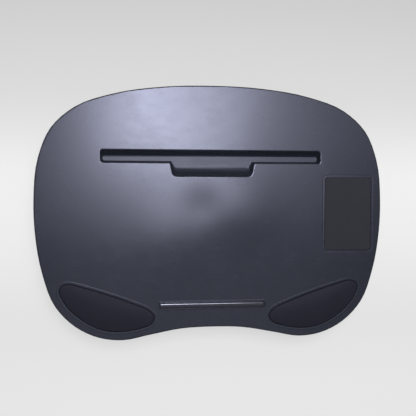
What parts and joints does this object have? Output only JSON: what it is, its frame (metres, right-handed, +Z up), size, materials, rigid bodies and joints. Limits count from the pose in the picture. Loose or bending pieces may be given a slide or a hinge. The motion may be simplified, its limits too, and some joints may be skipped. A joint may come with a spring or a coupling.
{
  "type": "lap desk",
  "caption": "Moulded lap desk tray with a tablet slot and finger notch, mouse pad, two wrist pads and a laptop stop bar, resting on two cushions.",
  "frame": {"origin": "on the resting plane, under the middle of the tray's outline", "axes": "+X to the user's right, towards the mouse pad; +Y to the rear edge, past the tablet slot; +Z up"},
  "size_m": [0.5778, 0.4176, 0.0795],
  "materials": {
    "tray_plastic": "satin charcoal, fine moulded grain",
    "panel_plastic": "matt black",
    "bar_plastic": "gloss black",
    "screw_steel": "zinc plated",
    "pad_rubber": "matt black sheet",
    "mouse_cloth": "fine matt weave",
    "wrist_fabric": "smooth coated fabric",
    "pad_foam": "open foam and bead filling",
    "backing_board": "thin plastic board",
    "cushion_fabric": "brushed polyester",
    "piping_fabric": "fabric-covered cord",
    "tape_fabric": "hook and loop tape"
  },
  "bodies": {
    "root": {"tray_top": "tray_plastic", "bottom_panel": "panel_plastic", "panel_screw_1": "screw_steel", "panel_screw_2": "screw_steel", "panel_screw_3": "screw_steel", "panel_screw_4": "screw_steel", "panel_screw_5": "screw_steel", "panel_screw_6": "screw_steel", "panel_screw_7": "screw_steel", "panel_screw_8": "screw_steel", "mouse_pad_base": "pad_rubber", "mouse_pad_cloth": "mouse_cloth", "wrist_plate_left": "backing_board", "wrist_plate_right": "backing_board", "wrist_foam_left": "pad_foam", "wrist_foam_right": "pad_foam", "wrist_cover_left": "wrist_fabric", "wrist_cover_right": "wrist_fabric", "stop_bar": "bar_plastic", "stop_bar_clip_1": "screw_steel", "stop_bar_clip_2": "screw_steel", "stop_bar_clip_3": "screw_steel", "bolster_shell_left": "cushion_fabric", "bolster_shell_right": "cushion_fabric", "bolster_fill_left": "pad_foam", "bolster_fill_right": "pad_foam", "bolster_top_panel_left": "cushion_fabric", "bolster_top_panel_right": "cushion_fabric", "bolster_piping_left": "piping_fabric", "bolster_piping_right": "piping_fabric", "hook_strip_1": "tape_fabric", "hook_strip_2": "tape_fabric", "hook_strip_3": "tape_fabric", "hook_strip_4": "tape_fabric", "loop_strip_1": "tape_fabric", "loop_strip_2": "tape_fabric", "loop_strip_3": "tape_fabric", "loop_strip_4": "tape_fabric"}
  },
  "joints": []
}
